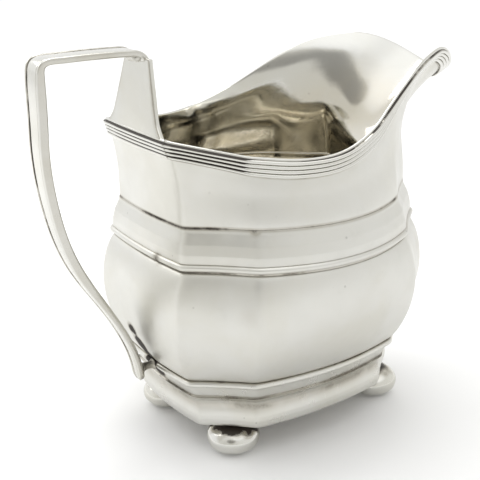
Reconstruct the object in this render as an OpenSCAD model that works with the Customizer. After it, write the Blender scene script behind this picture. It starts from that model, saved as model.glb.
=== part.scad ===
// Oblong cream jug in sheet silver: canted corners, bowed sides, a broad lip,
// a high reeded strap handle and four ball feet.
// Millimetres, +Z up, the lip towards +X, the feet standing on z = 0 and the
// origin under the middle of the overall length.

/* [Body plan] */
// Half length of the body at the girdle groove
half_length = 39.8; // [36:0.1:44]
// Half width of the body at the girdle groove, at its corners
half_width = 33; // [30:0.1:36]
// Length that each canted corner takes from an end
cant_x = 14.4; // [12:0.1:16]
// Length that each canted corner takes from a side
cant_y = 13.5; // [11:0.1:15]
// How far the ends bow out beyond their corners
end_bow = 1.3; // [0:0.1:3]
// Body centre, measured from the middle of the overall length
body_x = 1.1; // [-3:0.1:3]

/* [Body heights] */
// Underside of the base skirt
skirt_z = 10.1; // [9:0.1:11]
// Sharp edge between the skirt's cove and the foot band
edge_z = 19.5; // [18:0.1:21]
// Groove where the belly meets the foot band's bead
belly_z = 25.8; // [25:0.1:27]
// Girdle groove at the top of the belly
groove_z = 58.6; // [57:0.1:60]
// Ledge at the top of the shoulder band
ledge_z = 69; // [68:0.1:70]
// Seam where the neck stands on the shoulder
neck_z = 70.3; // [70.1:0.1:71]

/* [Sheet and wire] */
// Thickness of the sheet
wall = 0.8; // [0.7:0.1:1.1]
// How far the belly swells beyond the groove
swell = 4.6; // [3:0.1:6]
// Height of one reed of the rim wire
reed_pitch = 1.12; // [0.9:0.01:1.2]
// Number of reeds in the rim wire
reeds = 4; // [3:1:5]
// How far a reed stands off the neck
reed_height = 0.95; // [0.6:0.05:1.2]

/* [Handle] */
// Width of the strap where it leaves the jug
strap_top = 8.8; // [7:0.1:10]
// Width of the strap at its lower tip
strap_tip = 4.8; // [4:0.1:6]
// Thickness of the strap along its arm and at its tip
strap_thick = 1.7; // [1.2:0.1:2.2]
// How much thicker the strap is in its upright part
strap_swell = 0.8; // [0:0.1:1]
// Width of the thin reed along each edge of the strap
edge_reed = 1.1; // [0.8:0.1:1.4]
// Thickness of the riser plate
riser_thick = 1.3; // [1:0.1:1.6]
// Lean of the riser plate towards the jug's middle, in degrees
riser_lean = 6.3; // [4:0.1:10]
// Height that the riser plate's own heights start from
riser_z = 91.5; // [90:0.1:93]
// Height of the middle of the handle's arm
arm_z = 113.8; // [112:0.1:115]

/* [Feet] */
// Front feet ahead of the body centre
foot_front = 30; // [28:0.1:30.5]
// Back feet behind the body centre
foot_back = 25; // [24.5:0.1:27]
// Front feet from the body centre across the width
foot_front_y = 15.8; // [15:0.1:16.5]
// Back feet from the body centre across the width
foot_back_y = 17.2; // [16.8:0.1:18]
// Radius of a ball foot
foot_r = 7.7; // [6:0.1:8]
// Height of a ball foot
foot_h = 9.4; // [9:0.1:9.6]
// Radius of the worn flat under a ball foot
foot_flat = 2.6; // [2:0.1:3]
// Radius of the short collar above a ball foot
collar_r = 2.4; // [2:0.1:2.5]

/* [Hidden] */
$fn = 64;
silver = "#d9d8d2";
// A canted corner lengthens by this share of the distance the outline moves out
cant_growth = 0.4;
// Segments along an end, a cant, a side and half of the lip
end_n = 4;
cant_n = 2;
side_n = 8;
lip_n = 12;

// ---- Outlines ---------------------------------------------------------

// Points from a to b in n equal steps, b left out, bowed out by bow along way
function bowed(a, b, n, bow, way) =
    [for (i = [0:n - 1]) let (t = i / n) a + (b - a) * t + way * bow * 4 * t * (1 - t)];

// One quarter's corner points: on the end, then on the side
function end_corner(dx, dy) =
    [half_length + dx, half_width + dy - cant_y - cant_growth * dy];
function side_corner(dx, dy) =
    [half_length + dx - cant_x - cant_growth * dx, half_width + dy];

// Closed outline at height z, moved out by dx at the ends and dy at the sides
function outline(level) = let (
    z = level[0], e = end_corner(level[1], level[2]), s = side_corner(level[1], level[2]),
    flat = concat(
        bowed([e[0], -e[1]], [e[0], e[1]], end_n, end_bow, [1, 0]),
        bowed([e[0], e[1]], [s[0], s[1]], cant_n, 0, [0, 0]),
        bowed([s[0], s[1]], [-s[0], s[1]], side_n, level[3], [0, 1]),
        bowed([-s[0], s[1]], [-e[0], e[1]], cant_n, 0, [0, 0]),
        bowed([-e[0], e[1]], [-e[0], -e[1]], end_n, end_bow, [-1, 0]),
        bowed([-e[0], -e[1]], [-s[0], -s[1]], cant_n, 0, [0, 0]),
        bowed([-s[0], -s[1]], [s[0], -s[1]], side_n, level[3], [0, -1]),
        bowed([s[0], -s[1]], [e[0], -e[1]], cant_n, 0, [0, 0])
    )) [for (p = flat) [p[0], p[1], z]];

// A level moved in by d
function inset(level, d) = [level[0], level[1] - d, level[2] - d, level[3]];
function reversed(list) = [for (i = [len(list) - 1:-1:0]) list[i]];

// Smooth curve through knots, s counting them, with one made-up knot past each end
function spline(knots, s) = let (
    last = len(knots) - 1, i = min(floor(s), last - 1), t = s - i,
    a = i == 0 ? 2 * knots[0] - knots[1] : knots[i - 1], b = knots[i], c = knots[i + 1],
    d = i + 2 > last ? 2 * knots[last] - knots[last - 1] : knots[i + 2])
    0.5 * (2 * b + (c - a) * t + (2 * a - 5 * b + 4 * c - d) * t * t
        + (3 * b - a - 3 * c + d) * t * t * t);

function unit(v) = v / norm(v);

// A closed skin through a cycle of rings, the last joined back to the first
module ring_solid(rings) {
    m = len(rings[0]);
    n = len(rings);
    polyhedron(
        points = [for (r = rings) each r],
        faces = [for (i = [0:n - 1], j = [0:m - 1]) let (
            a = i * m + j, b = i * m + (j + 1) % m,
            c = ((i + 1) % n) * m + (j + 1) % m, d = ((i + 1) % n) * m + j)
            each [[a, c, b], [a, d, c]]],
        convexity = 10);
}

// A capped solid through a row of sections
module swept_solid(sections) {
    m = len(sections[0]);
    n = len(sections);
    polyhedron(
        points = [for (s = sections) each s],
        faces = concat(
            [[for (j = [0:m - 1]) j]],
            [[for (j = [m - 1:-1:0]) (n - 1) * m + j]],
            [for (i = [0:n - 2], j = [0:m - 1]) let (
                a = i * m + j, b = i * m + (j + 1) % m,
                c = (i + 1) * m + (j + 1) % m, d = (i + 1) * m + j)
                each [[a, c, b], [a, d, c]]]),
        convexity = 10);
}

// A shell of the lower body from the levels of its outside, lowest first, and of its
// inside, highest first
module body_shell(outside, inside) {
    color(silver) in_place() ring_solid([for (l = concat(outside, inside)) outline(l)]);
}

module in_place() {
    translate([body_x, 0, 0]) children();
}

// ---- Lower body -------------------------------------------------------

skirt_level = [skirt_z, -5.6, -6.0, 2.3];
edge_level = [edge_z, -3.8, -5.2, 3.2];
belly_level = [belly_z, -2.1, -3.7, 3.6];
groove_level = [groove_z, 0, 0, 7.8];
ledge_level = [ledge_z, -1.4, -2.2, 8.3];
neck_level = [neck_z, -1.6, -2.6, 8.2];
bead_high = 1.9;
bead_out = 0.9;
bead_n = 6;
belly_n = 14;
// Flange under the skirt that the feet are soldered to
flange_inset = 7.2;
flange_high = 1.2;
floor_thick = 0.8;
// The floor inside clears the belly by this much
floor_gap = 0.1;
// Outside of the skirt, a soft foot and then a cove:
// [share of the way up to its edge, distance out]
skirt_profile = [
    [0, 0], [0.1, 0.25], [0.24, 0.3], [0.38, 0.1], [0.5, -0.25], [0.62, -0.65],
    [0.74, -0.95], [0.85, -0.95], [0.94, -0.6], [1, 0]
];
// Inside of the skirt from its edge down to the flange
skirt_lining = [[1, 0], [0.83, -0.9], [0.68, -0.85], [0.5, -0.2]];
// The foot band stands back by this much under its bead
band_recess = 0.5;
// The foot band's wall is thicker behind the bead and where the belly stands on it
band_wall = 1.6;
band_seat = 2.4;
// Step from the sharp edge in under the foot band's wall
band_step = 0.3;
// Outside of the shoulder band between its bead and its ledge
shoulder_profile = [[0.35, 0.5], [0.7, 0.45]];
// Plain strip in the girdle groove, then the foot of the shoulder's bead
groove_strip = 0.6;
shoulder_lip = 0.7;
// The shoulder's bead stands out by this much at its foot, and a little more above it
bead_stand = 0.1;
bead_spread = 0.15;
// The ledge rolls in to the neck over this height and depth, and under it inside
ledge_roll = [0.35, -0.15];
ledge_lining = [-0.4, -0.2];
// Power of the belly's arc, flatter as it nears 0
belly_arc = 0.8;

// A level raised by dz and moved out by d
function shifted(level, dz, d) = [level[0] + dz, level[1] + d, level[2] + d, level[3]];
function between(a, b, t) = a + (b - a) * t;

// Half-round bead standing on a level
function bead(level) =
    [for (i = [0:bead_n]) let (t = 180 * i / bead_n)
        shifted(level, bead_high * (1 - cos(t)) / 2, bead_out * sin(t))];

// Levels along a profile between two levels
function along_profile(a, b, profile) =
    [for (p = profile) shifted(between(a, b, p[0]), 0, p[1])];

module base_skirt() {
    flange_top = shifted(skirt_level, flange_high, 0);
    body_shell(
        along_profile(skirt_level, edge_level, skirt_profile),
        concat(
            [for (l = along_profile(skirt_level, edge_level, skirt_lining)) inset(l, wall)],
            [inset(flange_top, wall), inset(flange_top, flange_inset), inset(skirt_level, flange_inset)]));
}

module foot_band() {
    bead_foot = shifted(belly_level, -bead_high, 0);
    under_bead = shifted(bead_foot, -band_step, -band_recess);
    body_shell(
        concat([edge_level, shifted(edge_level, band_step, -band_recess), under_bead], bead(bead_foot)),
        [inset(belly_level, band_seat), inset(under_bead, band_wall), inset(edge_level, wall)]);
}

module base_plate() {
    // Lies on top of the foot band, inside the belly
    seat = inset(belly_level, wall + floor_gap);
    color(silver) in_place() translate([0, 0, belly_z]) linear_extrude(floor_thick)
        polygon([for (p = outline(seat)) [p[0], p[1]]]);
}

// Belly: the straight line from foot band to groove, swollen by a flattened arc
function belly_at(t) = let (arc = pow(1 - pow(2 * t - 1, 2), belly_arc))
    shifted(between(belly_level, groove_level, t), 0, swell * arc);

module belly_shell() {
    outside = [for (i = [0:belly_n]) belly_at(0.5 - 0.5 * cos(180 * i / belly_n))];
    body_shell(outside, [for (l = reversed(outside)) inset(l, wall)]);
}

module shoulder_band() {
    bead_foot = shifted(groove_level, shoulder_lip, bead_stand);
    above_bead = shifted(bead_foot, bead_high, bead_spread);
    flat = along_profile(above_bead, ledge_level, shoulder_profile);
    body_shell(
        concat([groove_level, shifted(groove_level, groove_strip, 0)], bead(bead_foot), [above_bead],
            flat, [ledge_level, shifted(ledge_level, ledge_roll[0], ledge_roll[1]), neck_level]),
        [for (l = [neck_level, shifted(ledge_level, ledge_lining[0], ledge_lining[1]), flat[1],
            flat[0], shifted(groove_level, bead_high, bead_stand), groove_level]) inset(l, wall)]);
}

// ---- Neck and lip -----------------------------------------------------

// Rim of one side from the side corner at the handle to the tip of the lip:
// the side dips, then the lip rises and droops to its tip.
rim_side = [
    [-24.5, 28.2, 88.8], [-12, 33.8, 87.4], [0, 36.6, 88.3], [12, 34.8, 92.6],
    [22, 31.3, 98.6], [31, 28.4, 104], [39, 25.4, 107.7], [46, 21.8, 109.2],
    [53.4, 17.4, 107.6], [59, 13.8, 104.8], [62.6, 10.8, 102.4], [65, 7.4, 100.2],
    [66.4, 3.8, 98.4], [66.8, 0, 97.8]
];
// Corner of the rim on the handle's end, which stands higher than the sides
rim_corner = [-41.6, 16.9, 93.2];
// How far the rim bows out at the middle of the handle's end
rim_bow = 0.4;
// Knots at which the side's rim turns into the front cant, and that into the lip
side_knots = 4;
front_knots = 6;
last_knot = len(rim_side) - 1;

function mirrored_y(p) = [p[0], -p[1], p[2]];
// Rim curve, s counting knots; the knot past the tip is the other side's, so the tip is round
rim_knots = concat(rim_side, [mirrored_y(rim_side[last_knot - 1])]);
function rim_curve(s) = spline(rim_knots, s);

function line3(a, b, n) = [for (i = [0:n - 1]) a + (b - a) * (i / n)];

// Half of the rim, from the middle of the handle's end to the tip of the lip
rim_half = concat(
    line3([rim_corner[0] - rim_bow, 0, rim_corner[2]], rim_corner, end_n / 2),
    line3(rim_corner, rim_side[0], cant_n),
    [for (i = [0:side_n - 1]) rim_curve(i * side_knots / side_n)],
    [for (i = [0:cant_n - 1]) rim_curve(side_knots + i * (front_knots - side_knots) / cant_n)],
    [for (i = [0:lip_n]) rim_curve(front_knots + i * (last_knot - front_knots) / lip_n)]);

// Half of the outline at the foot of the neck, matched to the rim point by point
neck_half = let (
    e = end_corner(neck_level[1], neck_level[2]),
    s = side_corner(neck_level[1], neck_level[2]))
    concat(
        [for (i = [0:end_n / 2 - 1]) let (t = i * 2 / end_n)
            [-e[0] - end_bow * (1 - t * t), e[1] * t, neck_z]],
        line3([-e[0], e[1], neck_z], [-s[0], s[1], neck_z], cant_n),
        [for (p = bowed([-s[0], s[1]], [s[0], s[1]], side_n, neck_level[3], [0, 1])) [p[0], p[1], neck_z]],
        line3([s[0], s[1], neck_z], [e[0], e[1], neck_z], cant_n),
        [for (i = [0:lip_n]) let (t = 1 - i / lip_n)
            [e[0] + end_bow * (1 - t * t), e[1] * t, neck_z]]);

// A whole ring from one half, the other side mirrored
function whole(half) = concat(half,
    [for (i = [len(half) - 2:-1:1]) mirrored_y(half[i])]);

neck_n = 10;
half_last = len(rim_half) - 1;
// Below its edge the neck stands in by this much, less at the handle's end, over this distance
edge_flare = 1.3;
end_flare = 0.3;
edge_reach = 6;
// Power of the neck's flare, and how much less it is at the tip of the lip
flare_power = 2.2;
lip_ease = 0.5;
function clamped(t) = min(max(t, 0), 1);
// From 0 to 1, starting at once and ending gently
function eased(t) = clamped(t) * (2 - clamped(t));
// From 0 to 1, starting and ending gently
function smooth(t) = pow(clamped(t), 2) * (3 - 2 * clamped(t));
// How sharply the neck flares under the rim, gentler under the lip
function flare(i) = flare_power - lip_ease * max(0, i - half_last + lip_n) / lip_n;
// How far the neck stands in at point i, coming in along the cant at the handle's end
function stand_in(i) = between(end_flare, edge_flare, smooth((i - end_n / 2) / cant_n));
// Neck point i of the half outline, v from its foot at 0 to the rim at 1
function neck_point(i, v) = let (
    foot = neck_half[i], rim = rim_half[i], high = rim[2] - foot[2],
    p = [foot[0], foot[1]] + [rim[0] - foot[0], rim[1] - foot[1]] * pow(v, flare(i)),
    way = unit([p[0] / pow(half_length, 2), p[1] / pow(half_width, 2)]),
    q = p - way * stand_in(i) * eased((1 - v) * high / edge_reach) * smooth(2 * v))
    [q[0], q[1], foot[2] + high * v];
neck_rings = [for (k = [0:neck_n]) whole([for (i = [0:half_last]) neck_point(i, k / neck_n)])];
ring_count = len(neck_rings[0]);

// Unit normal out of the neck at ring k, point i
function neck_normal(k, i) = let (
    ring = neck_rings[k],
    along = ring[(i + 1) % ring_count] - ring[(i + ring_count - 1) % ring_count],
    up = neck_rings[min(k + 1, neck_n)][i] - neck_rings[max(k - 1, 0)][i])
    unit(cross(up, along));

// The foot ring keeps its height, so that it sits flat on the shoulder band
function inner_point(k, i) = let (n = neck_normal(k, i), p = neck_rings[k][i])
    k == 0 ? p - wall * unit([n[0], n[1], 0]) : p - wall * n;

module neck_shell() {
    color(silver) in_place() ring_solid(concat(
        [for (k = [0:neck_n]) reversed(neck_rings[k])],
        [for (k = [neck_n:-1:0]) reversed([for (i = [0:ring_count - 1]) inner_point(k, i)])]));
}

// How far the grooves between the reeds stand off the neck
groove_height = 0.45 * reed_height;
// The wire's back stands this far off the neck, so that the two solids only meet
wire_gap = 0.02;
// Section of the reeded wire: [distance down from the rim, distance out from the neck]
wire_section = concat(
    [[0, 0]],
    [for (i = [0:2 * reeds]) [i * reed_pitch / 2, i % 2 == 1 ? reed_height : groove_height]],
    [[reeds * reed_pitch, 0]]);

module rim_wire() {
    sections = [for (i = [0:ring_count - 1]) let (
        p = neck_rings[neck_n][i],
        down = unit(neck_rings[neck_n - 2][i] - p),
        out = neck_normal(neck_n - 1, i))
        [for (q = wire_section) p + down * q[0] + out * (q[1] + wire_gap)]];
    color(silver) in_place() ring_solid(sections);
}

// ---- Handle -----------------------------------------------------------

// Half outline of the riser plate, its foot just below the rim: [half width, height]
riser_half = [[14.8, 1.4], [11.8, 5], [10.2, 9], [8.4, 14.5], [6.5, 20.6]];
// The plate stands this far outside the corner of the rim
riser_stand = 0.3;
riser_outer = rim_corner[0] - riser_stand;

module handle_riser() {
    color(silver) in_place() translate([riser_outer, 0, riser_z]) rotate([0, riser_lean, 0])
        rotate([90, 0, 90]) linear_extrude(riser_thick)
            polygon(concat(riser_half, [for (p = reversed(riser_half)) [-p[0], p[1]]]));
}

// Middle line of the strap in the jug's middle plane: [x, z], from the fold
// inside the riser, along the arm, round the corner and down to the tip.
strap_line = [
    [-38.3, 108.6], [-38.9, 111.6], [-41, 113.4], [-45, arm_z], [-53, arm_z + 0.2],
    [-61, arm_z + 0.2], [-65.2, arm_z + 0.1], [-67, 112.6], [-67.4, 109.5], [-67.5, 104.5],
    [-67.6, 99], [-67.8, 91.5], [-67.4, 84], [-66.3, 76], [-64.5, 68], [-61.8, 60.5],
    [-58.2, 53.5], [-54, 46.5], [-50.2, 39.8], [-47.2, 33.5], [-45.2, 27.5], [-44, 21]
];
strap_last = len(strap_line) - 1;
// Sections of the strap from one knot to the next
strap_steps = 2;
// The strap narrows slowly at first, then faster
strap_taper = 1.6;
// The strap's tip narrows by this share into a tongue
tip_taper = 0.45;
// Knots between which the strap is thicker, and over how many knots that comes and goes
swell_from = 6;
swell_to = 18;
swell_fade = 3;
// Half of the step over which the strap's direction is taken
look = 0.05;
// The strap's edge is rounded off by this much, and the groove beside the reed is this deep
edge_round = 0.3;
reed_groove = 0.5;
// The face between the reeds starts this far below them and rises this far above
face_drop = 0.15;
face_crown = 0.1;

// Half the thickness of the strap at knot s
function strap_half(s) = (strap_thick + strap_swell
    * smooth((s - swell_from) / swell_fade) * smooth((swell_to - s) / swell_fade)) / 2;

// Section of the strap from its half width and half thickness: [across, outwards],
// with reeds along both edges
function strap_section(w, h) = let (
    half = [[w, -h], [w, h - edge_round], [w - edge_reed / 2, h], [w - edge_reed, h - reed_groove],
        [w - edge_reed - edge_round, h - face_drop]])
    concat([for (p = half) [-p[0], p[1]]], [[0, h + face_crown]], reversed(half));

module handle_strap() {
    count = strap_last * strap_steps;
    sections = [for (k = [0:count]) let (
        s = k / strap_steps, t = k / count,
        p = spline(strap_line, s),
        dir = unit(spline(strap_line, min(s + look, strap_last)) - spline(strap_line, max(s - look, 0))),
        near_tip = max(0, k - count + strap_steps) / strap_steps,
        w = between(strap_top, strap_tip, pow(t, strap_taper)) / 2 * (1 - tip_taper * pow(near_tip, 2)))
        [for (c = strap_section(w, strap_half(s))) [p[0] + dir[1] * c[1], c[0], p[1] - dir[0] * c[1]]]];
    color(silver) in_place() swept_solid(sections);
}

module handle_gusset() {
    // Solder wedge in the angle between the riser and the arm
    reach = 3.4;
    high = 3;
    wide = 6;
    sunk = 0.1;
    gap = 0.25;
    hollow = [-0.35 * reach, -0.27 * high];
    top = arm_z - strap_thick / 2 - gap;
    face = riser_outer + (top - riser_z) * sin(riser_lean) - sunk;
    color(silver) in_place() translate([face, wide / 2, top]) rotate([90, 0, 0])
        linear_extrude(wide)
            polygon([[sunk, 0], [-reach, 0], hollow, [-3 * sunk, -high]]);
}

module handle_lug() {
    // Short stay between the foot band's bead and the lower part of the strap
    length = 3.6;
    radius = 1.3;
    sunk = 0.35;
    lug_z = belly_z - bead_high / 2 - sunk;
    from_body = half_length + belly_level[1] + end_bow + bead_out - sunk;
    color(silver) in_place() translate([-from_body, 0, lug_z]) rotate([0, -90, 0])
        cylinder(h = length, r = radius);
}

// ---- Feet -------------------------------------------------------------

// Where a foot stands: place is the sign along X and along Y
function foot_at(place) = place[0] > 0
    ? [foot_front, place[1] * foot_front_y, 0]
    : [-foot_back, place[1] * foot_back_y, 0];

module ball_foot(place) {
    // Squashed ball with a worn flat underneath
    low = asin(foot_flat / foot_r) - 90;
    squash = foot_h / (foot_r * (1 - sin(low)));
    steps = 20;
    color(silver) in_place() translate(foot_at(place)) rotate_extrude()
        polygon(concat([[0, 0]],
            [for (i = [0:steps]) let (a = low + (90 - low) * i / steps)
                [max(foot_r * cos(a), 0), squash * foot_r * (sin(a) - sin(low))]]));
}

module foot_collar(place) {
    sunk = 0.5;
    color(silver) in_place()
        translate(foot_at(place)) translate([0, 0, foot_h - sunk])
            cylinder(h = skirt_z - foot_h + sunk, r = collar_r);
}

neck_shell();
rim_wire();
shoulder_band();
belly_shell();
foot_band();
base_skirt();
base_plate();
handle_riser();
handle_strap();
handle_gusset();
handle_lug();
ball_foot([1, 1]);  // ball_foot_1
ball_foot([1, -1]);  // ball_foot_2
ball_foot([-1, 1]);  // ball_foot_3
ball_foot([-1, -1]);  // ball_foot_4
foot_collar([1, 1]);  // foot_collar_1
foot_collar([1, -1]);  // foot_collar_2
foot_collar([-1, 1]);  // foot_collar_3
foot_collar([-1, -1]);  // foot_collar_4
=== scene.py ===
import math

import bpy
import numpy as np
from mathutils import Matrix, Vector, noise


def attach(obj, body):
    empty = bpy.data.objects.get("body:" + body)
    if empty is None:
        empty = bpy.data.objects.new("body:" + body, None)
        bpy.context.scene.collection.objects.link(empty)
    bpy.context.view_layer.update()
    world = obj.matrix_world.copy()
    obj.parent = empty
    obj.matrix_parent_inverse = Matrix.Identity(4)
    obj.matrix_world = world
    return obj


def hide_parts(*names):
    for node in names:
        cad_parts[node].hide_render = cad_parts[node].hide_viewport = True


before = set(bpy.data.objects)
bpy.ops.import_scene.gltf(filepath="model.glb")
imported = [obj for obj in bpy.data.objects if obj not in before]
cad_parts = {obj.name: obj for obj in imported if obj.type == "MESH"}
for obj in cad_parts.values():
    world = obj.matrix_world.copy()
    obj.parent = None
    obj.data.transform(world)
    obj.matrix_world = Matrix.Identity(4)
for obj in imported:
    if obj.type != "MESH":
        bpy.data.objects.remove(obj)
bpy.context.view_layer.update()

# ---- Driving sizes, in millimetres, in the body's own frame --------------
# They repeat the part's values; to_frame() moves the body into the shared frame.

BODY_X = 1.1
# Half sizes at the groove, and how far the cants cut in along and across
HALF_LENGTH = 39.8
HALF_WIDTH = 33.0
CANT_X = 14.4
CANT_Y = 13.5
END_BOW = 1.3
CANT_GROWTH = 0.4
# Heights of the levels from the skirt's foot to the neck's
SKIRT_Z = 10.1
EDGE_Z = 19.5
BELLY_Z = 25.8
GROOVE_Z = 58.6
LEDGE_Z = 69.0
NECK_Z = 70.3
WALL = 0.8
# How far the belly swells out between its foot and the groove
SWELL = 4.6

# A level of the body: height, move out at the ends, move out at the sides, bow of the sides
SKIRT = np.array([SKIRT_Z, -5.6, -6.0, 2.3])
EDGE = np.array([EDGE_Z, -3.8, -5.2, 3.2])
BELLY = np.array([BELLY_Z, -2.1, -3.7, 3.6])
GROOVE = np.array([GROOVE_Z, 0, 0, 7.8])
LEDGE = np.array([LEDGE_Z, -1.4, -2.2, 8.3])
NECK = np.array([NECK_Z, -1.6, -2.6, 8.2])
BEAD_HIGH = 1.9
BEAD_OUT = 0.9

# Columns of the meshes along an end, a canted corner, a side and half of the lip
END_N = 48
CANT_N = 28
SIDE_N = 80
LIP_N = 52
# Rounding of the body's vertical creases, and how hollow the cants are planished
CREASE_PASSES = 9
HOLLOW = 0.40
# A cant faces this much along and this much across
SLANT = 0.7

# ---- Paths and rings ------------------------------------------------------


def spread(n, crowding=0.45):
    """n steps from 0 up to but without 1, closer together near both ends."""
    t = np.arange(n) / n
    return t - crowding * np.sin(2 * np.pi * t) / (2 * np.pi)


def bowed(a, b, n, bow, way):
    """Points from a to b in n steps, b left out, bowed out by bow along way."""
    t = spread(n)[:, None]
    a, b, way = (np.array(v, float) for v in (a, b, way))
    return a + (b - a) * t + way * bow * 4 * t * (1 - t)


def end_corner(level):
    """Where a cant meets the end, in the quarter where x and y are positive."""
    return HALF_LENGTH + level[1], HALF_WIDTH + level[2] * (1 - CANT_GROWTH) - CANT_Y


def side_corner(level):
    """Where a cant meets the side, in the same quarter."""
    return HALF_LENGTH + level[1] * (1 - CANT_GROWTH) - CANT_X, HALF_WIDTH + level[2]


def outline(level):
    """Closed outline of the body at one level, with its corners still sharp."""
    (ex, ey), (sx, sy), bow = end_corner(level), side_corner(level), level[3]
    flat = np.concatenate([
        bowed((ex, -ey), (ex, ey), END_N, END_BOW, (1, 0)),
        bowed((ex, ey), (sx, sy), CANT_N, -HOLLOW, (SLANT, SLANT)),
        bowed((sx, sy), (-sx, sy), SIDE_N, bow, (0, 1)),
        bowed((-sx, sy), (-ex, ey), CANT_N, -HOLLOW, (-SLANT, SLANT)),
        bowed((-ex, ey), (-ex, -ey), END_N, END_BOW, (-1, 0)),
        bowed((-ex, -ey), (-sx, -sy), CANT_N, -HOLLOW, (-SLANT, -SLANT)),
        bowed((-sx, -sy), (sx, -sy), SIDE_N, bow, (0, -1)),
        bowed((sx, -sy), (ex, -ey), CANT_N, -HOLLOW, (SLANT, -SLANT)),
    ])
    return np.column_stack([flat, np.full(len(flat), level[0])])


def softened(rings, passes):
    """Closed rings with their creases rounded; the last axis but one runs along a ring."""
    for _ in range(passes):
        rings = (np.roll(rings, 1, -2) + 2 * rings + np.roll(rings, -1, -2)) / 4
    return rings


def shifted(level, dz, d):
    """A level raised by dz and moved out by d."""
    return level + np.array([dz, d, d, 0])


def between(a, b, t):
    return a + (b - a) * t


def bead(level, steps=12):
    """Half-round bead standing on a level."""
    turns = np.linspace(0, np.pi, steps + 1)
    return [shifted(level, BEAD_HIGH * (1 - math.cos(a)) / 2, BEAD_OUT * math.sin(a)) for a in turns]


def filleted(path, radius, steps=3):
    """A closed path of levels with every corner rounded a little."""
    # A corner takes no more than this share of the shorter side
    most = 0.45
    out = []
    n = len(path)
    for i in range(n):
        a, p, c = path[i - 1], path[i], path[(i + 1) % n]
        reach_a = min(radius / np.linalg.norm((a - p)[:2]), most)
        reach_c = min(radius / np.linalg.norm((c - p)[:2]), most)
        start, stop = p + (a - p) * reach_a, p + (c - p) * reach_c
        for s in np.linspace(0, 1, steps + 1):
            out.append((1 - s) ** 2 * start + 2 * s * (1 - s) * p + s * s * stop)
    return out


def filled_in(path, step):
    """A closed path with points added, so that no gap is longer than step."""
    out = []
    for i, p in enumerate(path):
        q = path[(i + 1) % len(path)]
        parts = max(1, math.ceil(np.linalg.norm((q - p)[:2]) / step))
        out += [p + (q - p) * k / parts for k in range(parts)]
    return out


def spline(points, s):
    """Smooth curve through points, s counting them; it may be an array."""
    points = np.array(points, float)
    last = len(points) - 1
    padded = np.vstack([2 * points[0] - points[1], points, 2 * points[last] - points[last - 1]])
    s = np.atleast_1d(s)
    i = np.clip(np.floor(s).astype(int), 0, last - 1)
    t = (s - i)[:, None]
    a, b, c, d = padded[i], padded[i + 1], padded[i + 2], padded[i + 3]
    return 0.5 * (2 * b + (c - a) * t + (2 * a - 5 * b + 4 * c - d) * t ** 2
                  + (3 * b - a - 3 * c + d) * t ** 3)


def unit(v):
    return v / np.maximum(np.linalg.norm(v, axis=-1, keepdims=True), 1e-9)


# ---- Hand work: uneven sheet, dents --------------------------------------

# Shallow dents: centre, radius and depth
DENTS = [
    ((-38, -24, 45), 7, 0.14), ((-33, -28, 52), 4, 0.12), ((-44, -6, 40), 6, 0.12),
    ((-44, 4, 48), 5, 0.10), ((-30, -30, 84), 6, 0.16), ((14, -43, 44), 8, 0.14),
    ((-40, 10, 80), 7, 0.12), ((-43, 2, 64), 4, 0.12), ((30, 30, 42), 8, 0.15),
    ((4, 42, 50), 7, 0.12), ((41, -6, 36), 7, 0.12),
]
# How steeply a dent falls away from its centre
DENT_EDGE = 2
# Lengths of the broad and the fine waves in the sheet, and the share of the fine ones
BROAD, FINE, FINE_SHARE = 15.0, 6.0, 0.3


def uneven(points, amount=0.10, seed=0.0):
    """Points moved in and out a little, as planishing and use leave sheet silver."""
    flat = points.reshape(-1, 3)
    push = np.array([
        noise.noise(Vector(p) / BROAD + Vector((seed, 0, 0)))
        + FINE_SHARE * noise.noise(Vector(p) / FINE + Vector((0, seed, 0)))
        for p in flat.tolist()]) * amount
    for centre, radius, depth in DENTS:
        far = np.linalg.norm(flat - np.array(centre), axis=1) / radius
        push -= depth * np.exp(-far ** 2 * DENT_EDGE)
    way = unit(flat * [1 / HALF_LENGTH ** 2, 1 / HALF_WIDTH ** 2, 0])
    return points + (way * push[:, None]).reshape(points.shape)


# ---- Meshes ---------------------------------------------------------------


def to_frame(points):
    """Points from the body's frame in millimetres to the shared one in metres."""
    return (np.asarray(points, float).reshape(-1, 3) + [BODY_X, 0, 0]) * 0.001


def make_mesh(name, points, faces, marks):
    """A smooth mesh object; marks are numbers per point that the materials read."""
    mesh = bpy.data.meshes.new(name)
    mesh.from_pydata(to_frame(points).tolist(), [], faces)
    mesh.update()
    mesh.polygons.foreach_set("use_smooth", [True] * len(mesh.polygons))
    for mark, values in marks.items():
        layer = mesh.attributes.new(mark, "FLOAT", "POINT")
        layer.data.foreach_set("value", np.asarray(values, np.float32).ravel())
    mesh.validate()
    obj = bpy.data.objects.new(name, mesh)
    bpy.context.scene.collection.objects.link(obj)
    return obj


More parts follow.
